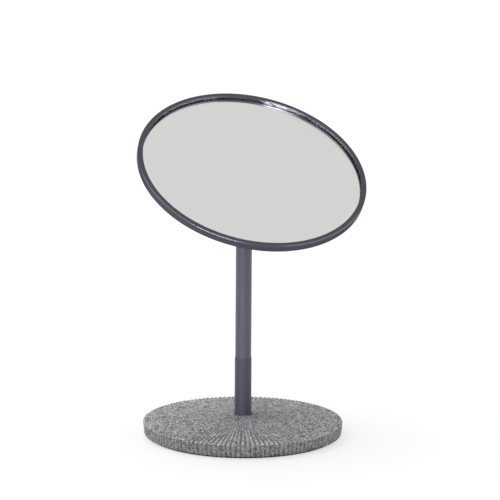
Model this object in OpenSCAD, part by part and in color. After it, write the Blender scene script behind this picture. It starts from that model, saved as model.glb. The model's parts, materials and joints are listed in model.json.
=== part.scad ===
// Extendable table mirror: a tilting round mirror on a two-part telescopic pole,
// standing on a fluted cast stone base. The origin is the centre of the base's
// underside, +Z is up and the mirror faces -Y and upwards.

/* [Base] */
// Diameter of the stone base across the rib crests
base_d = 177; // [160:1:200]
// Height of the base's rim above the table
rim_h = 13.2; // [12.8:0.1:16]
// Height of the base's crown at the pole's foot
crown_h = 18.8; // [18:0.1:22]
// Number of ribs round the base
ribs = 132; // [90:1:140]
// Depth of the flutes between the ribs, at the rim
rib_depth = 1.1; // [0.6:0.1:1.4]
// Thickness of the soft pad under the base
pad_t = 1.5; // [1:0.1:2]

/* [Pole] */
// Diameter of the upper tube, which slides
inner_d = 14.2; // [12:0.1:14.2]
// Diameter of the lower tube, which is fixed in the base
outer_d = 14.9; // [14.9:0.1:16]
// Height of the lower tube's mouth above the table
mouth_z = 69; // [69:1:76]
// Height of the tilt hinge above the table, at mid travel
hinge_z = 208.4; // [204:0.1:240]
// How far the pole slides each way from mid travel
travel = 14; // [6:1:14]

/* [Mirror] */
// Diameter of the mirror's frame
head_d = 200; // [180:1:200]
// Angle that the mirror faces above the horizontal
head_up = 55; // [0:1:75]
// Distance from the tilt hinge to the front of the frame
hinge_to_lip = 39.2; // [39:0.1:44]
// Width of the frame's front lip
lip_w = 4.6; // [3.5:0.1:6]
// How far the glass lies behind the lip's front
recess = 2.2; // [1.5:0.1:2.4]
// Thickness of the glass
glass_t = 3; // [2:0.1:3]

/* [Hidden] */
$fn = 96;
eps = 0.01;
slip = 0.02;          // gap between pieces of one body that are pressed or screwed

graphite = "#5c5a66";
stone_grey = "#8f8f8d";
steel = "#a9abb0";

// Base
base_r = base_d / 2;
draft = 1;            // how far the side leans in towards the table
edge_drop = 1.3;      // height of the rim's small bevel
edge_in = 1.2;        // width of the rim's small bevel
crown_r = 6;          // where the ribs end, inside the pole's foot
pad_r = base_r - 4.5;
pocket_r = 14;        // pocket under the base for the bolt and washers
web_lo = 8.5;         // underside of the stone web that the bolt clamps
tube_z = 12.5;        // top of the web, on which the lower tube stands

// Bolt stack, from the web down
bolt_r = 3;
spreader_t = 1.6;
lock_t = 1.6;
bolt_head_t = 3.4;
bolt_top = 19.8;
plug_top = 20.5;

// Tubes
outer_r = outer_d / 2;
inner_r = inner_d / 2;
bore_r = inner_r + 0.05;      // bore of the lower tube
neck_r = inner_r + 0.03;      // slightly tighter bore at its mouth
neck_h = 1.5;
inner_wall = 0.6;
post_z = hinge_z - 18.5;   // top of the upper tube
pin_r = 1.25;
pin_z = post_z - 7;        // cross pin that holds the hinge post in the tube

// Glide at the foot of the upper tube
sleeve_r = bore_r - 0.01;
sleeve_h = 14;
spindle_r = 4.5;
glide_screw_r = 2;
stack_z = plug_top + travel + 0.5;   // underside of the lowest moving piece
screw_head_t = 2.4;
retainer_t = 1;
retainer_z = stack_z + screw_head_t;
sleeve_z = retainer_z + retainer_t + 0.2;
collar_z = sleeve_z + sleeve_h + 0.2;
collar_t = 1;
inner_z = collar_z + collar_t;       // foot of the upper tube

// Tilt hinge, across X
tongue_t = 7;
pivot_r = 2.5;
pivot_gap = 0.05;
washer_t = 0.8;
washer_x = tongue_t / 2 + pivot_gap;
ear_x = washer_x + washer_t;
ear_t = 3.4;
ear_r = 8;
spring_x = ear_x + ear_t;
spring_t = 0.9;
nut_t = 4;

// Mirror head, measured from the hinge towards the mirror's front
head_r = head_d / 2;
lip_z = hinge_to_lip;
glass_z = lip_z - recess - glass_t;
cover_t = 0.7;
crimp_t = 0.5;
flange_z = glass_z - cover_t;
ring_back_z = flange_z - crimp_t;
head_depth = 13;
back_z = lip_z - head_depth;
wall_r = head_r - 1.2;
bracket_t = 3;
bracket_r = 23;
plate_t = 2;
plate_r = 30;
pad_foam_t = 1;
board_t = 2;
board_z = glass_z - pad_foam_t - board_t;
board_r = wall_r - 8;
screw_pcd_r = 16;
m4_r = 2;

// One closed ring of the base: crests at one radius and height, flutes at another.
function rib_ring(crest, flute) = [
    for (i = [0 : 2 * ribs - 1])
        let (p = i % 2 == 0 ? crest : flute, a = i * 180 / ribs)
            [p[0] * cos(a), p[0] * sin(a), p[1]]
];

// Height of the crown's shallow cone at radius r.
function cone_z(r) = crown_h - (crown_h - rim_h) * r / (base_r - edge_in);

// Points of a quarter round about [cx, cy] from angle a0 to a1.
function arc(cx, cy, r, a0, a1, steps = 5) = [
    for (i = [0 : steps]) let (a = a0 + (a1 - a0) * i / steps)
        [cx + r * cos(a), cy + r * sin(a)]
];

module fluted_solid() {
    top_r = base_r - edge_in;
    foot_r = base_r - draft;
    crest = [
        [crown_r, cone_z(crown_r)], [top_r / 2, cone_z(top_r / 2)], [top_r, rim_h],
        [base_r, rim_h - edge_drop], [foot_r, pad_t + 1], [foot_r - 1, pad_t]
    ];
    flute = [
        [crown_r, cone_z(crown_r) - rib_depth * crown_r / base_r],
        [top_r / 2, cone_z(top_r / 2) - rib_depth / 2],
        [top_r - rib_depth / 2, rim_h - rib_depth],
        [base_r - rib_depth, rim_h - edge_drop - rib_depth / 2],
        [foot_r - rib_depth, pad_t + 1], [foot_r - 1 - rib_depth, pad_t]
    ];
    n = 2 * ribs;
    rings = len(crest);
    points = concat(
        [for (k = [0 : rings - 1]) each rib_ring(crest[k], flute[k])],
        [[0, 0, cone_z(0)], [0, 0, pad_t]]
    );
    sides = [
        for (k = [0 : rings - 2], i = [0 : n - 1])
            let (a = k * n + i, b = k * n + (i + 1) % n)
                each [[a, b + n, b], [a, a + n, b + n]]
    ];
    lid = [for (i = [0 : n - 1]) [rings * n, i, (i + 1) % n]];
    sole = [
        for (i = [0 : n - 1])
            [rings * n + 1, (rings - 1) * n + (i + 1) % n, (rings - 1) * n + i]
    ];
    polyhedron(points, [for (f = concat(sides, lid, sole)) [f[0], f[2], f[1]]]);
}

module base_disc() {
    color(stone_grey) difference() {
        fluted_solid();
        translate([0, 0, tube_z]) cylinder(r = outer_r + slip, h = crown_h);
        translate([0, 0, web_lo - eps]) cylinder(r = bolt_r + 0.4, h = tube_z - web_lo + 2 * eps);
        translate([0, 0, pad_t - eps]) cylinder(r = pocket_r, h = web_lo - pad_t + eps);
    }
}

module base_pad() {
    color("#3b3b3d") cylinder(r = pad_r, h = pad_t);
}

module base_bolt() {
    head_z = web_lo - spreader_t - lock_t - bolt_head_t;
    color(steel) difference() {
        union() {
            translate([0, 0, head_z]) cylinder(r = 5.2, h = bolt_head_t);
            translate([0, 0, head_z + bolt_head_t - eps])
                cylinder(r = bolt_r, h = bolt_top - head_z - bolt_head_t);
        }
        translate([0, 0, head_z - eps]) cylinder(r = 2.3, h = 2, $fn = 6);
    }
}

// Flat ring about Z.
module washer(r_out, r_in, t) {
    difference() {
        cylinder(r = r_out, h = t);
        translate([0, 0, -eps]) cylinder(r = r_in, h = t + 2 * eps);
    }
}

module lock_washer() {
    color(steel) translate([0, 0, web_lo - spreader_t - lock_t]) difference() {
        washer(5.4, bolt_r + 0.1, lock_t);
        translate([2, -0.6, -eps]) rotate([0, 0, 12]) cube([5, 1.2, lock_t + 2 * eps]);
    }
}

module spreader_washer() {
    color(steel) translate([0, 0, web_lo - spreader_t]) washer(12, bolt_r + 0.2, spreader_t);
}

module tube_plug() {
    color(steel) translate([0, 0, tube_z])
        washer(bore_r - slip, bolt_r + slip, plug_top - tube_z);
}

module outer_tube() {
    color(graphite) difference() {
        translate([0, 0, tube_z]) cylinder(r = outer_r, h = mouth_z - tube_z);
        translate([0, 0, tube_z - eps])
            cylinder(r = bore_r, h = mouth_z - neck_h - tube_z + eps);
        translate([0, 0, mouth_z - neck_h - eps]) cylinder(r = neck_r, h = neck_h + 2 * eps);
    }
}

module friction_sleeve() {
    color("#d9d6cc") translate([0, 0, sleeve_z]) difference() {
        washer(sleeve_r, spindle_r + pivot_gap, sleeve_h);
        translate([0, -0.6, -eps]) cube([sleeve_r + 1, 1.2, sleeve_h + 2 * eps]);
    }
}

module inner_tube() {
    color(graphite) difference() {
        translate([0, 0, inner_z]) washer(inner_r, inner_r - inner_wall, post_z - inner_z);
        cross_hole();
    }
}

module glide_plug() {
    color("#2d2d30") difference() {
        union() {
            translate([0, 0, collar_z]) cylinder(r = inner_r - 0.05, h = collar_t);
            translate([0, 0, inner_z - eps]) cylinder(r = inner_r - inner_wall - slip, h = 10);
            translate([0, 0, retainer_z + retainer_t])
                cylinder(r = spindle_r, h = collar_z - retainer_z - retainer_t + eps);
        }
        translate([0, 0, retainer_z + retainer_t - eps])
            cylinder(r = glide_screw_r + slip, h = 12);
    }
}

module retaining_washer() {
    color(steel) translate([0, 0, retainer_z]) washer(6.4, glide_screw_r + 0.1, retainer_t);
}

module sleeve_screw() {
    color(steel) difference() {
        union() {
            translate([0, 0, stack_z]) cylinder(r = 3.8, h = screw_head_t);
            translate([0, 0, retainer_z - eps]) cylinder(r = glide_screw_r, h = 11);
        }
        translate([0, 0, stack_z - eps]) cylinder(r = 1.45, h = 1.4, $fn = 6);
    }
}

// The pin's hole through the top of the upper tube and the post's spigot.
module cross_hole() {
    translate([-10, 0, pin_z]) rotate([0, 90, 0]) cylinder(r = pin_r + slip, h = 20);
}

module hinge_post() {
    color(graphite) difference() {
        union() {
            translate([0, 0, post_z - 14]) cylinder(r = inner_r - inner_wall - slip, h = 14 + eps);
            translate([0, 0, post_z]) cylinder(r = inner_r, h = 4);
            intersection() {
                translate([0, 0, post_z]) cylinder(r = inner_r, h = hinge_z - post_z);
                translate([-tongue_t / 2, -inner_r, post_z])
                    cube([tongue_t, 2 * inner_r, hinge_z - post_z]);
            }
            translate([-tongue_t / 2, 0, hinge_z]) rotate([0, 90, 0])
                cylinder(r = inner_r, h = tongue_t);
        }
        translate([-10, 0, hinge_z]) rotate([0, 90, 0])
            cylinder(r = pivot_r + pivot_gap, h = 20);
        cross_hole();
    }
}

module post_pin() {
    color(steel) translate([0.2 - inner_r, 0, pin_z]) rotate([0, 90, 0])
        cylinder(r = pin_r, h = 2 * inner_r - 0.4);
}

// Places a piece drawn about the hinge, with the mirror's front towards +Z.
module on_head() {
    translate([0, 0, hinge_z]) rotate([90 - head_up, 0, 0]) children();
}

// A cylinder along X from x, about the hinge.
module across(x, r, h, sides = 96) {
    translate([x, 0, 0]) rotate([0, 90, 0]) cylinder(r = r, h = h, $fn = sides);
}

module ear(x) {
    across(x, ear_r, ear_t);
    translate([x, -ear_r, 0]) cube([ear_t, 2 * ear_r, back_z - bracket_t + eps]);
}

// Four places on the bracket's bolt circle.
module at_screws() {
    for (a = [45 : 90 : 315]) rotate([0, 0, a]) translate([screw_pcd_r, 0, 0]) children();
}

module hinge_bracket() {
    color(graphite) on_head() difference() {
        union() {
            translate([0, 0, back_z - bracket_t]) cylinder(r = bracket_r, h = bracket_t);
            ear(ear_x);
            ear(-ear_x - ear_t);
        }
        across(-20, pivot_r + slip, 40);
        at_screws() translate([0, 0, back_z - bracket_t - eps])
            cylinder(r = m4_r + slip, h = bracket_t + 2 * eps);
    }
}

module friction_washers() {
    color("#d9d6cc") on_head() for (x = [washer_x, -washer_x - washer_t])
        translate([x, 0, 0]) rotate([0, 90, 0]) washer(6.6, pivot_r + slip, washer_t);
}

module pivot_screw() {
    color(steel) on_head() difference() {
        union() {
            across(-spring_x - 2.6, 4.6, 2.6);
            across(-spring_x - eps, pivot_r, 2 * spring_x + spring_t + nut_t);
        }
        across(-spring_x - 2.6 - eps, 1.75, 1.6, 6);
    }
}

module spring_washer() {
    color(steel) on_head() translate([spring_x, 0, 0]) rotate([0, 90, 0])
        washer(4.6, pivot_r + 0.1, spring_t);
}

module pivot_nut() {
    x = spring_x + spring_t;
    color(steel) on_head() difference() {
        union() {
            across(x, 4.6, nut_t, 6);
            intersection() {
                translate([x + nut_t, 0, 0]) sphere(r = 3.9);
                across(x + nut_t - eps, 5, 5);
            }
        }
        across(x - eps, pivot_r + slip, nut_t + 0.4);
    }
}

module bracket_screws() {
    color(steel) on_head() at_screws() difference() {
        union() {
            translate([0, 0, back_z - bracket_t - 2.2]) cylinder(r = 3.6, h = 2.2);
            translate([0, 0, back_z - bracket_t - eps])
                cylinder(r = m4_r, h = bracket_t + cover_t + plate_t + 1.2);
        }
        translate([0, 0, back_z - bracket_t - 2.2 - eps]) cylinder(r = 1.45, h = 1.3, $fn = 6);
    }
}

module inner_plate() {
    color(steel) on_head() translate([0, 0, back_z + cover_t]) difference() {
        cylinder(r = plate_r, h = plate_t);
        at_screws() translate([0, 0, -eps]) cylinder(r = m4_r + slip, h = plate_t + 2 * eps);
    }
}

module back_cover() {
    flat_r = wall_r - 14.8;      // edge of the cover's flat middle
    cone_r = wall_r - 2.2;       // where its sloping side meets the flange
    bend = 0.6;
    color(graphite) on_head() difference() {
        rotate_extrude($fn = 128) polygon([
            [0, back_z], [flat_r, back_z], [flat_r + 2.5, back_z + bend],
            [cone_r, flange_z], [wall_r - 0.1, flange_z],
            [wall_r - 0.1, flange_z + cover_t - slip], [cone_r - 0.5, flange_z + cover_t - slip],
            [flat_r + 1.9, back_z + bend + cover_t], [flat_r - 0.3, back_z + cover_t],
            [0, back_z + cover_t]
        ]);
        at_screws() translate([0, 0, back_z - eps])
            cylinder(r = m4_r + slip, h = cover_t + 2 * eps);
    }
}

module backing_board() {
    color("#8a6f52") on_head() translate([0, 0, board_z]) cylinder(r = board_r, h = board_t);
}

module foam_pads() {
    color("#e4e2dc") on_head() for (a = [0 : 60 : 300]) rotate([0, 0, a])
        translate([board_r * 0.68, 0, glass_z - pad_foam_t]) cylinder(r = 13, h = pad_foam_t);
}

module glass_gasket() {
    color("#1f1f21") on_head() translate([0, 0, glass_z + slip])
        washer(wall_r - 0.06, wall_r - 0.74, glass_t - 2 * slip);
}

module mirror_glass() {
    color("#c9cccb") on_head() translate([0, 0, glass_z])
        cylinder(r = wall_r - 0.8, h = glass_t, $fn = 128);
}

module frame_ring() {
    lip_r = head_r - lip_w;
    round_out = 1.3;
    round_in = 0.5;
    crimp_r = wall_r - 1.4;
    color(graphite) on_head() rotate_extrude($fn = 128) polygon(concat(
        arc(head_r - round_out, lip_z - round_out, round_out, 0, 90),
        arc(lip_r + round_in, lip_z - round_in, round_in, 90, 180, 3),
        [
            [lip_r, lip_z - recess + slip], [wall_r, lip_z - recess + slip],
            [wall_r, flange_z - slip], [crimp_r, flange_z - slip],
            [crimp_r, ring_back_z], [head_r - 0.5, ring_back_z], [head_r, ring_back_z + 0.5]
        ]
    ));
}

base_disc();
base_pad();
base_bolt();
lock_washer();
spreader_washer();
tube_plug();
outer_tube();
friction_sleeve();
inner_tube();
glide_plug();
retaining_washer();
sleeve_screw();
hinge_post();
post_pin();
hinge_bracket();
friction_washers();
pivot_screw();
spring_washer();
pivot_nut();
bracket_screws();
inner_plate();
back_cover();
backing_board();
foam_pads();
glass_gasket();
mirror_glass();
frame_ring();
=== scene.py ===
# Extendable table mirror: fluted cast stone base, telescopic graphite pole, tilting round mirror.
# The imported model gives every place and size. This script adds the surfaces that show,
# their finishes, the lamps and the camera. Lengths are in metres.
import json
import math

import bmesh
import bpy
import numpy as np
from mathutils import Matrix, Vector


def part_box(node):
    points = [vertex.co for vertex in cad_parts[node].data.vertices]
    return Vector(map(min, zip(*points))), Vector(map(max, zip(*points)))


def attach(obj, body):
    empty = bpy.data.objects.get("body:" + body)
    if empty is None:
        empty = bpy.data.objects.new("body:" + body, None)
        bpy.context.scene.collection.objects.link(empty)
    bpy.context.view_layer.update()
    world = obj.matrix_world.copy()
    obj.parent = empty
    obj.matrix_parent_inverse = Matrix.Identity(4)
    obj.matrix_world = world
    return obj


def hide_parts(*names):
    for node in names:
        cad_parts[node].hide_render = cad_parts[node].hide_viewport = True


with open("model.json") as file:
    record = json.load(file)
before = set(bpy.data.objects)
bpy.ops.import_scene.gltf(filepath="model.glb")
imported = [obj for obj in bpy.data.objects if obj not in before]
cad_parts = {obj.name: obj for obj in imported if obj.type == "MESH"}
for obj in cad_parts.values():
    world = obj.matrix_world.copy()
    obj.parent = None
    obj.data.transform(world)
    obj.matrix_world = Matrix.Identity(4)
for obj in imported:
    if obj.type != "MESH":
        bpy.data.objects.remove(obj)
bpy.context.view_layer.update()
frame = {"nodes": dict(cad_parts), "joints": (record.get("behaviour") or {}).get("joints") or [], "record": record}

nodes = frame["nodes"]
bodies = frame["record"]["behaviour"]["bodies"]
bodyOf = {node: body for body, members in bodies.items() for node in members}
slotOf = {part["node"]: part["material_slot"] for part in frame["record"]["subparts"]}
joints = {joint["name"]: joint for joint in frame["joints"]}
hinge = Vector(joints["head_tilt"]["pos_m"])
print("frame loaded:", len(nodes), "nodes")


# Faces of a grid of points whose columns join round: each one links (i, j), (i, j+1),
# (i+1, j+1), (i+1, j). The rows join round too when the profile is closed.
def gridFaces(rows, columns, closed):
    i = np.arange(rows if closed else rows - 1)[:, None]
    j = np.arange(columns)[None, :]
    iNext, jNext = (i + 1) % rows, (j + 1) % columns
    corners = (i * columns + j, i * columns + jNext, iNext * columns + jNext, iNext * columns + j)
    return np.stack(np.broadcast_arrays(*corners), axis=-1).reshape(-1, 4)


# A mesh object from a list of points, its four-sided faces and its three-sided ones.
def meshPiece(name, points, quads, fans):
    corners = np.concatenate([quads.reshape(-1), fans.reshape(-1)]).astype(np.int32)
    sizes = np.concatenate([np.full(len(quads), 4), np.full(len(fans), 3)]).astype(np.int32)
    mesh = bpy.data.meshes.new(name)
    mesh.vertices.add(len(points))
    mesh.vertices.foreach_set("co", points.reshape(-1).astype(np.float32))
    mesh.loops.add(len(corners))
    mesh.loops.foreach_set("vertex_index", corners)
    mesh.polygons.add(len(sizes))
    mesh.polygons.foreach_set("loop_start", (np.cumsum(sizes) - sizes).astype(np.int32))
    mesh.polygons.foreach_set("loop_total", sizes)
    mesh.update(calc_edges=True)
    mesh.polygons.foreach_set("use_smooth", np.ones(len(sizes), dtype=bool))
    piece = bpy.data.objects.new(name, mesh)
    bpy.context.scene.collection.objects.link(piece)
    return piece


# A profile (r, z) carried round Z: x = r cos a, y = r sin a, z = z. A profile whose two
# ends are on the axis gets one point and a fan of triangles at each end; any other
# profile is a closed loop. place, a 4x4 matrix, then puts the piece where it belongs.
def lathe(name, profile, around, place=None):
    capped = profile[0, 0] == 0
    rings = profile[1:-1] if capped else profile
    a = np.linspace(0, 2 * np.pi, around, endpoint=False)[None, :]
    r, z = rings[:, :1], rings[:, 1:]
    points = np.stack([r * np.cos(a), r * np.sin(a), z + 0 * a], axis=-1).reshape(-1, 3)
    quads = gridFaces(len(rings), around, not capped)
    fans = np.zeros((0, 3), dtype=int)
    if capped:
        poles = np.array([[0, 0, profile[0, 1]], [0, 0, profile[-1, 1]]])
        j = np.arange(around)
        jNext = (j + 1) % around
        last = (len(rings) - 1) * around
        low = np.stack([np.full(around, len(points)), jNext, j], axis=-1)
        high = np.stack([np.full(around, len(points) + 1), last + j, last + jNext], axis=-1)
        points = np.concatenate([points, poles])
        fans = np.concatenate([low, high])
    if place is not None:
        m = np.array(place)
        points = points @ m[:3, :3].T + m[:3, 3]
    return meshPiece(name, points, quads, fans)


# An (r, z) outline with rounded corners. At each corner with a radius the arc is tangent
# to both sides: centre + radius * (cos t, sin t), t from one tangent point to the other.
def roundedPath(corners, radii, steps=5):
    path = []
    for k, radius in enumerate(radii):
        here = np.array(corners[k])
        if radius == 0:
            path.append(here)
            continue
        before, after = np.array(corners[k - 1]), np.array(corners[(k + 1) % len(corners)])
        a = (before - here) / np.linalg.norm(before - here)
        b = (after - here) / np.linalg.norm(after - here)
        half = math.acos(np.clip(a @ b, -1, 1)) / 2
        start, end = here + a * radius / math.tan(half), here + b * radius / math.tan(half)
        centre = here + (a + b) / np.linalg.norm(a + b) * radius / math.sin(half)
        first = math.atan2(*(start - centre)[::-1])
        turn = (math.atan2(*(end - centre)[::-1]) - first + math.pi) % (2 * math.pi) - math.pi
        t = np.linspace(first, first + turn, steps + 1)
        path.extend(centre + radius * np.stack([np.cos(t), np.sin(t)], axis=-1))
    return np.array(path)


# Creases sharper than the angle stay sharp, and flat faces keep their own normals.
def settleNormals(piece, angle=35):
    piece.data.set_sharp_from_angle(angle=math.radians(angle))
    weighted = piece.modifiers.new("flatFaces", "WEIGHTED_NORMAL")
    weighted.keep_sharp = True


def newMaterial(name):
    material = bpy.data.materials.new(name)
    material.use_nodes = True
    return material, material.node_tree, material.node_tree.nodes["Principled BSDF"]


def addNode(tree, kind, **values):
    node = tree.nodes.new(kind)
    for key, value in values.items():
        if key in node.inputs:
            node.inputs[key].default_value = value
        else:
            setattr(node, key, value)
    return node


def mathNode(tree, operation, a, b, clamp=False):
    node = addNode(tree, "ShaderNodeMath", operation=operation, use_clamp=clamp)
    for socket, value in zip(node.inputs, (a, b)):
        if isinstance(value, (int, float)):
            socket.default_value = value
        else:
            tree.links.new(value, socket)
    return node.outputs[0]


def colourRamp(tree, factor, stops):
    node = addNode(tree, "ShaderNodeValToRGB")
    elements = node.color_ramp.elements
    while len(elements) < len(stops):
        elements.new(0.5)
    for element, (position, colour) in zip(elements, stops):
        element.position = position
        element.color = (*colour, 1)
    tree.links.new(factor, node.inputs[0])
    return node.outputs[0]


def newGroup(name, inputs, outputs):
    group = bpy.data.node_groups.new(name, "ShaderNodeTree")
    for label, kind, value in inputs:
        socket = group.interface.new_socket(label, in_out="INPUT", socket_type=kind)
        if value is not None:
            socket.default_value = value
    for label, kind in outputs:
        group.interface.new_socket(label, in_out="OUTPUT", socket_type=kind)
    return group, group.nodes.new("NodeGroupInput"), group.nodes.new("NodeGroupOutput")


def placeGroup(tree, group, **values):
    node = tree.nodes.new("ShaderNodeGroup")
    node.node_tree = group
    for key, value in values.items():
        node.inputs[key].default_value = value
    coordinates = addNode(tree, "ShaderNodeTexCoord").outputs["Object"]
    tree.links.new(coordinates, node.inputs["Vector"])
    return node


# Tiny bumps and slow tone drift of a sprayed, moulded or plated surface.
# Height is fine noise mixed with dimples by Speck; Tone is slow noise from 0 to 1.
def buildFineSkin():
    group, given, result = newGroup(
        "fineSkin",
        [("Vector", "NodeSocketVector", None), ("Grain", "NodeSocketFloat", 4000.0),
         ("Drift", "NodeSocketFloat", 30.0), ("Speck", "NodeSocketFloat", 0.3)],
        [("Height", "NodeSocketFloat"), ("Tone", "NodeSocketFloat")])
    link = group.links.new
    fine = addNode(group, "ShaderNodeTexNoise", Detail=2.0, Roughness=0.6)
    cells = addNode(group, "ShaderNodeTexVoronoi", feature="SMOOTH_F1")
    slow = addNode(group, "ShaderNodeTexNoise", Detail=3.0)
    for node in (fine, cells, slow):
        link(given.outputs["Vector"], node.inputs["Vector"])
    link(given.outputs["Grain"], fine.inputs["Scale"])
    link(mathNode(group, "MULTIPLY", given.outputs["Grain"], 0.6), cells.inputs["Scale"])
    link(given.outputs["Drift"], slow.inputs["Scale"])
    blend = addNode(group, "ShaderNodeMix", data_type="FLOAT")
    link(given.outputs["Speck"], blend.inputs[0])
    link(fine.outputs["Fac"], blend.inputs[2])
    link(cells.outputs["Distance"], blend.inputs[3])
    link(blend.outputs[0], result.inputs["Height"])
    link(slow.outputs["Fac"], result.inputs["Tone"])
    return group


# Packed sand: every Voronoi cell has its own tone, with smaller cells and noise between.
# Tone is 0.45 coarse + 0.3 fine + 0.25 noise; Height is the cells' domes less the pits;
# Pit is 1 where the noise is highest.
def buildStoneGrain():
    group, given, result = newGroup(
        "stoneGrain",
        [("Vector", "NodeSocketVector", None), ("Grain", "NodeSocketFloat", 800.0)],
        [("Tone", "NodeSocketFloat"), ("Height", "NodeSocketFloat"), ("Pit", "NodeSocketFloat")])
    link = group.links.new
    coarse = addNode(group, "ShaderNodeTexVoronoi", feature="F1")
    fine = addNode(group, "ShaderNodeTexVoronoi", feature="F1")
    noise = addNode(group, "ShaderNodeTexNoise", Detail=4.0, Roughness=0.7)
    for node, factor in ((coarse, 1.0), (fine, 2.3), (noise, 0.5)):
        link(given.outputs["Vector"], node.inputs["Vector"])
        link(mathNode(group, "MULTIPLY", given.outputs["Grain"], factor), node.inputs["Scale"])
    tones = []
    for node, share in ((coarse, 0.45), (fine, 0.3)):
        split = addNode(group, "ShaderNodeSeparateColor")
        link(node.outputs["Color"], split.inputs[0])
        tones.append(mathNode(group, "MULTIPLY", split.outputs[0], share))
    tones.append(mathNode(group, "MULTIPLY", noise.outputs["Fac"], 0.25))
    tone = mathNode(group, "ADD", mathNode(group, "ADD", tones[0], tones[1]), tones[2])
    pit = mathNode(group, "SUBTRACT", noise.outputs["Fac"], 0.54, clamp=True)
    pit = mathNode(group, "MULTIPLY", pit, 5.0, clamp=True)
    dome = mathNode(group, "SUBTRACT", 1.0, coarse.outputs["Distance"])
    link(tone, result.inputs["Tone"])
    link(mathNode(group, "SUBTRACT", dome, mathNode(group, "MULTIPLY", pit, 0.6)),
         result.inputs["Height"])
    link(pit, result.inputs["Pit"])
    return group


fineSkin = buildFineSkin()
stoneGrain = buildStoneGrain()
print("shader groups built")


def addBump(tree, shader, height, strength, distance):
    bump = addNode(tree, "ShaderNodeBump", Strength=strength, Distance=distance)
    tree.links.new(height, bump.inputs["Height"])
    tree.links.new(bump.outputs[0], shader.inputs["Normal"])


# A sprayed, moulded or plated surface: colour and roughness drift between two values.
def skinMaterial(name, look):
    material, tree, shader = newMaterial(name)
    skin = placeGroup(tree, fineSkin, Grain=look["grain"], Drift=look["drift"], Speck=look["speck"])
    stops = [(0.3, look["dark"]), (0.7, look["light"])]
    tree.links.new(colourRamp(tree, skin.outputs["Tone"], stops), shader.inputs["Base Color"])
    rough = addNode(tree, "ShaderNodeMapRange", clamp=True)
    rough.inputs["From Min"].default_value = 0.3
    rough.inputs["From Max"].default_value = 0.7
    rough.inputs["To Min"].default_value, rough.inputs["To Max"].default_value = look["rough"]
    tree.links.new(skin.outputs["Tone"], rough.inputs["Value"])
    tree.links.new(rough.outputs[0], shader.inputs["Roughness"])
    shader.inputs["Metallic"].default_value = look.get("metal", 0.0)
    shader.inputs["Coat Weight"].default_value = look.get("coat", 0.0)
    shader.inputs["Coat Roughness"].default_value = coatRoughness
    edge = look.get("edgeTint", 1.0)
    shader.inputs["Specular Tint"].default_value = (edge, edge, edge, 1)
    addBump(tree, shader, skin.outputs["Height"], look["bump"], look["bumpDepth"])
    return material


coatRoughness = 0.08        # of the clear coat on every painted piece

graphiteLook = {
    "dark": (0.081, 0.078, 0.117), "light": (0.091, 0.087, 0.131), "rough": (0.52, 0.6),
    "grain": 3600.0, "drift": 25.0, "speck": 0.35, "bump": 0.06, "bumpDepth": 0.00004,
    "metal": 0.15, "coat": 0.6,
}
# the lower tube's graphite, darker: painted shade where the stone base shades the pole's foot
shadedFootLook = {
    **graphiteLook, "dark": (0.061, 0.059, 0.093), "light": (0.069, 0.067, 0.105), "coat": 0.4,
}
glossLook = {
    "dark": (0.095, 0.097, 0.119), "light": (0.105, 0.108, 0.132), "rough": (0.2, 0.24),
    "grain": 3600.0, "drift": 25.0, "speck": 0.35, "bump": 0.03, "bumpDepth": 0.00004,
    "metal": 1.0, "coat": 0.2, "edgeTint": 0.35,
}
zincLook = {
    "dark": (0.36, 0.37, 0.39), "light": (0.5, 0.51, 0.53), "rough": (0.25, 0.4),
    "grain": 2500.0, "drift": 90.0, "speck": 0.2, "bump": 0.15, "bumpDepth": 0.00004,
    "metal": 1.0,
}
nylonLook = {
    "dark": (0.62, 0.6, 0.54), "light": (0.7, 0.68, 0.62), "rough": (0.4, 0.5),
    "grain": 1800.0, "drift": 60.0, "speck": 0.3, "bump": 0.15, "bumpDepth": 0.00005,
}
blackLook = {
    "dark": (0.012, 0.012, 0.013), "light": (0.02, 0.02, 0.021), "rough": (0.42, 0.55),
    "grain": 2200.0, "drift": 60.0, "speck": 0.5, "bump": 0.3, "bumpDepth": 0.00006,
}
padLook = {
    "dark": (0.022, 0.022, 0.024), "light": (0.035, 0.035, 0.037), "rough": (0.8, 0.92),
    "grain": 1500.0, "drift": 40.0, "speck": 0.8, "bump": 0.6, "bumpDepth": 0.0002,
}
foamLook = {
    "dark": (0.62, 0.61, 0.57), "light": (0.7, 0.69, 0.66), "rough": (0.85, 0.95),
    "grain": 1700.0, "drift": 50.0, "speck": 0.9, "bump": 0.6, "bumpDepth": 0.0002,
}
boardLook = {
    "dark": (0.14, 0.085, 0.05), "light": (0.22, 0.14, 0.085), "rough": (0.65, 0.85),
    "grain": 1200.0, "drift": 140.0, "speck": 0.2, "bump": 0.4, "bumpDepth": 0.0001,
}
gasketLook = {
    "dark": (0.01, 0.01, 0.011), "light": (0.016, 0.016, 0.017), "rough": (0.5, 0.65),
    "grain": 2000.0, "drift": 60.0, "speck": 0.2, "bump": 0.2, "bumpDepth": 0.00005,
}

stoneLook = {
    "grain": 1350.0,        # grains to a metre
    "tones": [(0.24, (0.034, 0.035, 0.037)), (0.4, (0.13, 0.131, 0.136)),
              (0.53, (0.243, 0.244, 0.251)), (0.72, (0.54, 0.54, 0.55))],
    "valley": 1.0,          # how strong the painted shade in the bottoms of the flutes is
    "pits": 0.3,            # how strong the painted shade in the pits is
    "dust": (0.2, 0.2, 0.21),    # the dark that flutes and pits are multiplied towards: painted shade in them
    "streak": 0.1,          # tone added along each rib, and the side's painted light
    "bump": 0.8, "bumpDepth": 0.0005,
}
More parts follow.
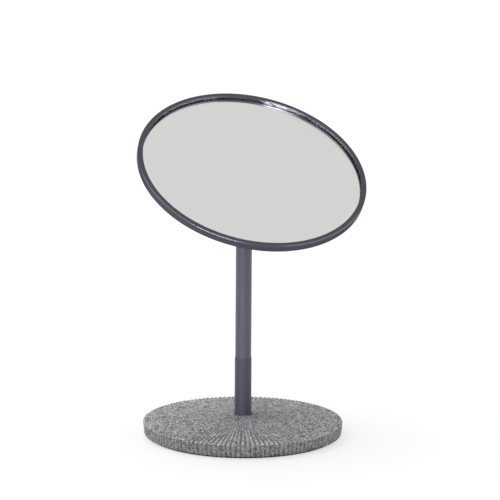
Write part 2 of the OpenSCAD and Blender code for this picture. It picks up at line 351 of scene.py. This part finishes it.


# Cast stone: the grain's tone plus each rib's own tone, with the side painted paler as painted light, picks the
# colour, and the flutes and pits are multiplied towards a dark that is painted shade in them.
def stoneMaterial(look):
    material, tree, shader = newMaterial("stoneCast")
    grain = placeGroup(tree, stoneGrain, Grain=look["grain"])
    streak = addNode(tree, "ShaderNodeAttribute", attribute_name="streak")
    tone = mathNode(tree, "MULTIPLY", streak.outputs["Fac"], look["streak"])
    tone = mathNode(tree, "ADD", grain.outputs["Tone"], tone)
    colour = colourRamp(tree, tone, look["tones"])
    # painted shade in the flutes and pits
    valley = addNode(tree, "ShaderNodeAttribute", attribute_name="flute")
    shade = mathNode(tree, "MULTIPLY", valley.outputs["Fac"], look["valley"])
    pits = mathNode(tree, "MULTIPLY", grain.outputs["Pit"], look["pits"])
    shade = mathNode(tree, "ADD", shade, pits, clamp=True)
    mix = addNode(tree, "ShaderNodeMix", data_type="RGBA", blend_type="MULTIPLY")
    tree.links.new(shade, mix.inputs[0])
    tree.links.new(colour, mix.inputs[6])
    mix.inputs[7].default_value = (*look["dust"], 1)
    tree.links.new(mix.outputs[2], shader.inputs["Base Color"])
    rough = mathNode(tree, "MULTIPLY", grain.outputs["Tone"], 0.15)
    tree.links.new(mathNode(tree, "ADD", rough, 0.8), shader.inputs["Roughness"])
    shader.inputs["Specular IOR Level"].default_value = 0.3
    addBump(tree, shader, grain.outputs["Height"], look["bump"], look["bumpDepth"])
    return material


# A clean surface with a breath of film: roughness is the slow tone times the film.
def clearMaterial(name, look):
    material, tree, shader = newMaterial(name)
    skin = placeGroup(tree, fineSkin, Grain=900.0, Drift=12.0, Speck=0.0)
    stops = [(0.3, look["dark"]), (0.7, look["light"])]
    tree.links.new(colourRamp(tree, skin.outputs["Tone"], stops), shader.inputs["Base Color"])
    film = mathNode(tree, "MULTIPLY", skin.outputs["Tone"], look["film"])
    tree.links.new(film, shader.inputs["Roughness"])
    shader.inputs["Metallic"].default_value = look["metal"]
    shader.inputs["Transmission Weight"].default_value = look["clear"]
    shader.inputs["IOR"].default_value = 1.52
    return material


silverLook = {
    "dark": (0.925, 0.925, 0.915), "light": (0.935, 0.935, 0.927), "film": 0.02,
    "metal": 1.0, "clear": 0.0,
}
glassLook = {
    "dark": (0.985, 0.99, 0.985), "light": (0.99, 0.993, 0.99), "film": 0.01,
    "metal": 0.0, "clear": 1.0,
}

finishes = {
    "stone": stoneMaterial(stoneLook),
    "graphite_metal": skinMaterial("graphiteCoat", graphiteLook),
    "mirror_glass": clearMaterial("mirrorSilver", silverLook),
    "fastener": skinMaterial("zincPlate", zincLook),
    "plated_steel": skinMaterial("zincSheet", {**zincLook, "drift": 40.0}),
    "nylon": skinMaterial("nylonNatural", nylonLook),
    "black_plastic": skinMaterial("plasticBlack", blackLook),
    "pad": skinMaterial("padFoamRubber", padLook),
    "foam": skinMaterial("foamTape", foamLook),
    "board": skinMaterial("hardboard", boardLook),
    "gasket": skinMaterial("glazingStrip", gasketLook),
}
glossCoat = skinMaterial("graphiteGloss", glossLook)
shadedFootCoat = skinMaterial("graphiteFoot", shadedFootLook)
for node, slot in slotOf.items():
    for materialSlot in nodes[node].material_slots:
        materialSlot.material = finishes[slot]
print("materials built:", len(finishes))


# Gives a new piece the finish of the node's slot, or the material given, puts it in the node's body and hides the
# node.
def standsFor(piece, node, material=None):
    piece.data.materials.clear()
    piece.data.materials.append(material or finishes[slotOf[node]])
    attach(piece, bodyOf[node])
    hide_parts(node)


# The (r, z) of every point of a node, seen along an axis that place turns upright.
def spots(node, place=None):
    vertices = nodes[node].data.vertices
    flat = np.empty(len(vertices) * 3)
    vertices.foreach_get("co", flat)
    points = flat.reshape(-1, 3)
    if place is not None:
        m = np.array(place.inverted())
        points = points @ m[:3, :3].T + m[:3, 3]
    return np.hypot(points[:, 0], points[:, 1]), points[:, 2]


baseShape = {
    "ribs": 132,            # ribs round the base
    "ribSteps": 10,         # columns of points to a rib
    "topSteps": 44,         # rows from the pole to the rim
    "fluteDepth": 0.0014,   # depth of a flute at the rim
    "rimRound": 0.0016,     # radius of the rim's edge
    "crown": 0.0188,        # height at the pole
    "rim": 0.0132,          # height at the rim
    "lean": 0.001,          # how far the side leans in at its foot
    "toe": 0.0008,          # small step in at the foot
    "grit": 0.0003,         # height of the cast skin's unevenness
    "clear": 0.0001,        # kept back from the node's box
    "pocket": 0.014,        # the bolt's pocket: radius, roof and hole
    "webLow": 0.0085,
    "boltHole": 0.0034,
    "padStep": 0.012,       # from the rim to a row of points under the base
    "socketGap": 0.00005,   # between the socket and the lower tube
    "sideDark": 0.4,        # strength of the painted shade in the side's flutes against the top's
    "sideTone": 0.8,        # painted light on the side: how much paler its grains are made
    "seed": 7,
}


# The fluted disc. A profile (r, z) runs from the pole's socket over the crown, round the
# rim, down the side and under to the bolt's pocket. Carried round Z, it is pushed in along
# its own normal by depth(s) * flute(a) + grit, where flute(a) = 1 - |cos(ribs * a / 2)| ** 0.8
# is 0 on a crest and 1 in a flute, and depth(s) grows from the pole to the rim.
def stoneBase(shape):
    low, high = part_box("base_disc")
    socket = spots("outer_tube")[0].max() + shape["socketGap"]
    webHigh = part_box("outer_tube")[0].z
    rim = high.x - shape["clear"]
    crown, rimZ = shape["crown"], shape["rim"]
    bend = shape["rimRound"]
    topR = rim - bend
    r = np.linspace(socket, topR, shape["topSteps"])
    top = np.stack([r, crown - (crown - rimZ) * r / topR], 1)
    turn = np.linspace(0, np.pi / 2, 7)[1:]
    edge = np.stack([topR + bend * np.sin(turn), rimZ - bend + bend * np.cos(turn)], 1)
    t = np.linspace(0, 1, 12)[1:]
    sideHeight = rimZ - bend - low.z - shape["toe"]
    side = np.stack([rim - shape["lean"] * t, rimZ - bend - sideHeight * t], 1)
    foot = rim - shape["lean"] - shape["toe"]
    under = np.array([[foot, low.z], [rim - shape["padStep"], low.z], [shape["pocket"], low.z],
                      [shape["pocket"], shape["webLow"]], [shape["boltHole"], shape["webLow"]],
                      [shape["boltHole"], webHigh], [socket, webHigh]])
    profile = np.concatenate([top, edge, side, under])
    outer = len(edge) + len(side) + 1
    plain = len(under) - 1
    share = np.concatenate([top[:, 0] / rim, np.ones(outer), np.zeros(plain)])
    tip = np.concatenate([np.zeros(len(top)), turn, np.full(len(side) + 1, np.pi / 2),
                          np.zeros(plain)])
    ribs, columns = shape["ribs"], shape["ribs"] * shape["ribSteps"]
    a = np.linspace(0, 2 * np.pi, columns, endpoint=False)
    flute = 1 - np.abs(np.cos(ribs * a / 2)) ** 0.8
    dice = np.random.default_rng(shape["seed"])
    grit = dice.random((len(profile), columns))
    soft = (grit + np.roll(grit, 1, axis=1) + np.roll(grit, 2, axis=1)) / 3
    wear = 0.7 + 0.3 * np.roll(soft, 1, axis=0)
    cut = shape["fluteDepth"] * share[:, None] * flute[None, :] * wear
    cut = cut + shape["grit"] * (0.5 * grit + 0.5 * soft) * (share > 0)[:, None]
    radius = profile[:, :1] - cut * np.sin(tip)[:, None]
    height = profile[:, 1:] - cut * np.cos(tip)[:, None]
    points = np.stack([radius * np.cos(a), radius * np.sin(a), height], axis=-1).reshape(-1, 3)
    quads = gridFaces(len(profile), columns, True)[:, ::-1]
    piece = meshPiece("stoneBase", points, quads, np.zeros((0, 3), dtype=int))
    # each rib and flute has a tone of its own, which changes slowly along it
    ribTone = np.repeat(dice.random((len(profile), ribs)), shape["ribSteps"], axis=1)
    ribTone = (ribTone + np.roll(ribTone, 1, axis=0) + np.roll(ribTone, 2, axis=0)) / 3 - 0.5
    # painted shade in the flutes, growing towards the rim and weaker on the side, and painted light on the side,
    # whose grains are made paler
    onTop = np.concatenate([np.ones(len(top)), np.full(len(profile) - len(top), shape["sideDark"])])
    dark = (onTop * share ** 0.5)[:, None] * flute[None, :] ** 1.5 * (0.5 + grit)
    sideLightTone = shape["sideTone"] * (onTop < 1)[:, None]
    for label, value in (("flute", dark), ("streak", 2 * ribTone + sideLightTone)):
        layer = piece.data.attributes.new(label, "FLOAT", "POINT")
        layer.data.foreach_set("value", value.reshape(-1).astype(np.float32))
    standsFor(piece, "base_disc")
    return piece


base = stoneBase(baseShape)
print("stone base:", len(base.data.polygons), "faces")


# The frame that puts a piece drawn about Z, front towards +Z, onto the leaning head:
# the turn from Z to the normal of the backing board's largest face, about the hinge.
def headPlace():
    face = max(nodes["backing_board"].data.polygons, key=lambda polygon: polygon.area)
    normal = face.normal if face.normal.z > 0 else -face.normal
    turn = Vector((0, 0, 1)).rotation_difference(normal).to_matrix().to_4x4()
    return Matrix.Translation(hinge) @ turn


headSpace = headPlace()
edgeBand = 0.0003        # points this near to the cover's rim belong to its flange

ringShape = {
    "outerRound": 0.0013,   # radius of the frame's outer front edge
    "innerRound": 0.0008,   # radius of the lip's edge at the glass
    "backRound": 0.0006,    # radius of the frame's back edge
    "hemRound": 0.0002,     # radius of the hem's inner edge
    "hem": 0.0014,          # how far the hem reaches in behind the cover
    "wallGap": 0.0001,      # between the cover's flange and the frame's wall
    "faceGap": 0.00002,     # between the frame and what it holds
    "around": 320,
}
glassShape = {
    "bevel": 0.0004,        # ground edge of the glass
    "silver": 0.00006,      # thickness of the silvering and its paint
    "gap": 0.00001,         # between the glass and the silvering
    "around": 256,
}
coverShape = {
    "bendRound": 0.004,     # radius of the pressed bend round the flat back
    "flatIn": 0.0147,       # from the rim in to the flat back
    "coneIn": 0.0021,       # from the rim in to the sloping side
    "bend": (0.0025, 0.0006),    # out and up over the bend's first stretch
    "inside": (0.0003, 0.0019, 0.0005),    # the inner face's corners: in, out and in again
    "around": 256,
}


# The frame ring: its section is a channel, open inwards, whose lip covers the edge of
# the glass and whose hem is rolled over behind it; the section is carried round the head.
def frameRing(shape):
    r, z = spots("frame_ring", headSpace)
    glassFront = spots("mirror_glass", headSpace)[1].max()
    coverR, coverZ = spots("back_cover", headSpace)
    wall = coverR.max() + shape["wallGap"]
    hemTop = coverZ[coverR > wall - edgeBand].min() - shape["faceGap"]
    hemIn = wall - shape["hem"]
    lipBack = glassFront + shape["faceGap"]
    section = roundedPath(
        [(hemIn, z.min()), (r.max(), z.min()), (r.max(), z.max()), (r.min(), z.max()),
         (r.min(), lipBack), (wall, lipBack), (wall, hemTop), (hemIn, hemTop)],
        [shape["hemRound"], shape["backRound"], shape["outerRound"], shape["innerRound"],
         0, 0, 0, 0], 6)
    piece = lathe("frameRing", section, shape["around"], headSpace)
    settleNormals(piece)
    standsFor(piece, "frame_ring", glossCoat)
    return piece


# A sheet of glass and, against its back, a film of silvering: two closed discs, each a
# profile that starts and ends on the head's axis.
def mirrorGlass(shape):
    r, z = spots("mirror_glass", headSpace)
    radius, back, front = r.max(), z.min(), z.max()
    split = back + shape["silver"]
    sheetBack = split + shape["gap"]
    sheetOutline = roundedPath(
        [(0, sheetBack), (radius, sheetBack), (radius, front), (0, front)],
        [0, shape["bevel"], shape["bevel"], 0], 3)
    filmOutline = np.array([(0, back), (radius, back), (radius, split), (0, split)])
    sheet = lathe("glassSheet", sheetOutline, shape["around"], headSpace)
    film = lathe("silverFilm", filmOutline, shape["around"], headSpace)
    standsFor(sheet, "mirror_glass", clearMaterial("sheetGlass", glassLook))
    film.data.materials.append(finishes["mirror_glass"])
    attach(film, bodyOf["mirror_glass"])
    for piece in (sheet, film):
        flat = np.zeros(len(piece.data.polygons), dtype=bool)
        piece.data.polygons.foreach_set("use_smooth", flat)
    return sheet


# The pressed back cover: a dish whose flat middle turns by a soft bend into a sloping
# side and ends in a flange under the frame's hem. The section is carried round the head.
def backCover(shape):
    r, z = spots("back_cover", headSpace)
    low = z.min()
    rim = r.max()
    flange = z[r > rim - edgeBand].min()
    thick = z[r > rim - edgeBand].max() - flange
    flat, cone = rim - shape["flatIn"], rim - shape["coneIn"]
    out, up = shape["bend"]
    innerFlat, innerBend, innerCone = shape["inside"]
    section = roundedPath(
        [(0, low), (flat, low), (flat + out, low + up), (cone, flange), (rim, flange),
         (rim, flange + thick), (cone - innerCone, flange + thick),
         (flat + innerBend, low + up + thick), (flat - innerFlat, low + thick), (0, low + thick)],
        [0, shape["bendRound"], 0, 0, 0, 0, 0, 0, 0, 0], 8)
    piece = lathe("backCover", section, shape["around"], headSpace)
    settleNormals(piece)
    standsFor(piece, "back_cover", glossCoat)
    return piece


frameRing(ringShape)
mirrorGlass(glassShape)
backCover(coverShape)
print("mirror head built")

tubeShape = {
    "mouthRound": 0.00012,  # rolled edge of the lower tube's mouth
    "around": 192,
}
mergeDistance = 0.000002
sharpAngle = 30.0        # edges sharper than this, in degrees, are broken
softEdges = {
    # node: width of its broken edges
    "hinge_bracket": 0.0005,
    "hinge_post": 0.0004,
    "friction_washers": 0.00012,
    "pivot_screw": 0.0003,
    "spring_washer": 0.00012,
    "pivot_nut": 0.0002,
    "bracket_screws": 0.0003,
    "base_pad": 0.0004,
}


# The lower tube: a thin wall with a slightly tighter, rolled mouth, carried round Z. Its paint is the graphite
# made darker, painted shade for the foot beside the stone.
def lowerTube(shape):
    r, z = spots("outer_tube")
    neck, bore = np.unique(np.round(r, 5))[:2]
    low, high = z.min(), z.max()
    step = np.unique(np.round(z, 5))[-2]
    section = roundedPath(
        [(r.max(), low), (r.max(), high), (neck, high), (neck, step), (bore, step), (bore, low)],
        [0, shape["mouthRound"], shape["mouthRound"], 0, 0, 0], 4)
    piece = lathe("lowerTube", section, shape["around"])
    settleNormals(piece)
    # the darker paint is painted shade near the stone
    standsFor(piece, "outer_tube", shadedFootCoat)
    return piece


# A merged copy of a node with its sharp edges broken by a bevel of the given width.
def softCopy(node, width):
    work = bmesh.new()
    work.from_mesh(nodes[node].data)
    bmesh.ops.remove_doubles(work, verts=work.verts, dist=mergeDistance)
    bmesh.ops.dissolve_limit(work, angle_limit=math.radians(0.5), verts=work.verts, edges=work.edges)
    mesh = bpy.data.meshes.new(node)
    work.to_mesh(mesh)
    work.free()
    words = node.split("_")
    piece = bpy.data.objects.new(words[0] + "".join(word.title() for word in words[1:]), mesh)
    bpy.context.scene.collection.objects.link(piece)
    mesh.polygons.foreach_set("use_smooth", np.ones(len(mesh.polygons), dtype=bool))
    mesh.set_sharp_from_angle(angle=math.radians(sharpAngle))
    bevel = piece.modifiers.new("brokenEdges", "BEVEL")
    bevel.width = width
    bevel.segments = 3
    bevel.limit_method = "ANGLE"
    bevel.angle_limit = math.radians(sharpAngle)
    bevel.harden_normals = True
    standsFor(piece, node)


lowerTube(tubeShape)
for node, width in softEdges.items():
    softCopy(node, width)
print("tube and softened pieces built:", 1 + len(softEdges))

stageLook = {
    "floorSize": 60.0,
    "floorColour": (0.57, 0.57, 0.568),
    "glow": 0.6,            # share of the floor's white, to the camera alone, that no shadow dims
    "matNear": 0.38, "matFar": 0.5,        # how light the floor is to everything but the camera
    "matStart": 0.12, "matEnd": 0.8,         # distances between which it lightens
    "worldCamera": 1.03,      # what the camera sees past the floor
    "worldLight": 0.728,      # the studio's own grey, which also fills the mirror
}
sunLook = {
    "strength": 4.1, "angle": 70.0,
    "tip": 13.0, "turn": -140.0,    # degrees from overhead, and the side that it leans to
}
# softboxes seen only as reflections: azimuth and elevation from the hinge in degrees,
# width and height in metres, power in watts
boxDistance = 1.6
softboxes = {
    "boxStrip": (-35, 8, 1.1, 0.25, 20.0),
    "boxLeft": (-85, 36, 1.7, 1.0, 9.0),
    "boxRight": (52, 24, 1.8, 1.1, 9.0),
}


# A point at the given azimuth and elevation round the hinge; azimuth 0 is straight in front.
def roundHinge(azimuth, elevation, distance):
    a, e = math.radians(azimuth), math.radians(elevation)
    return hinge + distance * Vector((math.sin(a) * math.cos(e), -math.cos(a) * math.cos(e), math.sin(e)))


def makeFloor(look):
    half = look["floorSize"] / 2
    mesh = bpy.data.meshes.new("floor")
    corners = [(-half, -half, 0), (half, -half, 0), (half, half, 0), (-half, half, 0)]
    mesh.from_pydata(corners, [], [(0, 1, 2, 3)])
    floor = bpy.data.objects.new("floor", mesh)
    bpy.context.scene.collection.objects.link(floor)
    material, tree, shader = newMaterial("floorPaper")
    away = addNode(tree, "ShaderNodeVectorMath", operation="LENGTH")
    tree.links.new(addNode(tree, "ShaderNodeTexCoord").outputs["Object"], away.inputs[0])
    mat = addNode(tree, "ShaderNodeMapRange", clamp=True)
    tree.links.new(away.outputs["Value"], mat.inputs["Value"])
    mat.inputs["From Min"].default_value = look["matStart"]
    mat.inputs["From Max"].default_value = look["matEnd"]
    mat.inputs["To Min"].default_value = look["matNear"]
    mat.inputs["To Max"].default_value = look["matFar"]
    paths = addNode(tree, "ShaderNodeLightPath")
    mix = addNode(tree, "ShaderNodeMix", data_type="RGBA")
    tree.links.new(paths.outputs["Is Camera Ray"], mix.inputs[0])
    tree.links.new(mat.outputs[0], mix.inputs[6])
    rest = 1 - look["glow"]
    mix.inputs[7].default_value = (*[rest * value for value in look["floorColour"]], 1)
    glow = mathNode(tree, "MULTIPLY", paths.outputs["Is Camera Ray"], look["glow"])
    tree.links.new(glow, shader.inputs["Emission Strength"])
    shader.inputs["Emission Color"].default_value = (1, 1, 0.998, 1)
    tree.links.new(mix.outputs[2], shader.inputs["Base Color"])
    shader.inputs["Roughness"].default_value = 0.9
    shader.inputs["Specular IOR Level"].default_value = 0.0
    mesh.materials.append(material)


def makeWorld(look):
    world = bpy.data.worlds.new("studio")
    world.use_nodes = True
    tree = world.node_tree
    paths = addNode(tree, "ShaderNodeLightPath")
    strength = addNode(tree, "ShaderNodeMix", data_type="FLOAT")
    strength.inputs[2].default_value = look["worldLight"]
    strength.inputs[3].default_value = look["worldCamera"]
    tree.links.new(paths.outputs["Is Camera Ray"], strength.inputs[0])
    tree.links.new(strength.outputs[0], tree.nodes["Background"].inputs["Strength"])
    tree.nodes["Background"].inputs["Color"].default_value = (1, 1, 0.995, 1)
    bpy.context.scene.world = world


def addLamp(name, data, place, aim):
    lamp = bpy.data.objects.new(name, data)
    lamp.location = place
    lamp.rotation_euler = (aim - place).to_track_quat("-Z", "Y").to_euler()
    lamp.visible_camera = False
    bpy.context.scene.collection.objects.link(lamp)
    return lamp


# One wide overhead light that no reflection shows, and softboxes that only reflections show.
def makeLamps(sun, boxes):
    data = bpy.data.lights.new("overhead", "SUN")
    data.energy, data.angle = sun["strength"], math.radians(sun["angle"])
    overhead = addLamp("overhead", data, roundHinge(sun["turn"], 90 - sun["tip"], 2.0), hinge)
    overhead.visible_glossy = False
    overhead.visible_transmission = False
    for name, (azimuth, elevation, width, height, power) in boxes.items():
        data = bpy.data.lights.new(name, "AREA")
        data.shape = "RECTANGLE"
        data.size, data.size_y, data.energy = width, height, power
        box = addLamp(name, data, roundHinge(azimuth, elevation, boxDistance), hinge)
        box.visible_diffuse = False


cameraLook = {
    "azimuth": -19.6,       # degrees round the object from -Y
    "elevation": 8.75,      # degrees above the horizon
    "distance": 1.589,
    "aimHeight": 0.1646,
    "aimAside": 0.0053,     # towards the camera's right
    "roll": 0.41,
    "lens": 130.9,
    "sensor": 36.0,
}


def makeCamera(look):
    a, e = math.radians(look["azimuth"]), math.radians(look["elevation"])
    back = Vector((math.sin(a) * math.cos(e), -math.cos(a) * math.cos(e), math.sin(e)))
    right = Vector((math.cos(a), math.sin(a), 0))
    aim = right * look["aimAside"] + Vector((0, 0, look["aimHeight"]))
    data = bpy.data.cameras.new("camera")
    data.lens, data.sensor_width = look["lens"], look["sensor"]
    data.clip_start, data.clip_end = 0.05, 100
    camera = bpy.data.objects.new("camera", data)
    turn = (-back).to_track_quat("-Z", "Y").to_matrix().to_4x4()
    roll = Matrix.Rotation(math.radians(look["roll"]), 4, "Z")
    camera.matrix_world = Matrix.Translation(aim + back * look["distance"]) @ turn @ roll
    bpy.context.scene.collection.objects.link(camera)
    bpy.context.scene.camera = camera


makeFloor(stageLook)
makeWorld(stageLook)
makeLamps(sunLook, softboxes)
makeCamera(cameraLook)
bpy.context.scene.view_settings.view_transform = "Standard"
print("stage, lamps and camera ready")
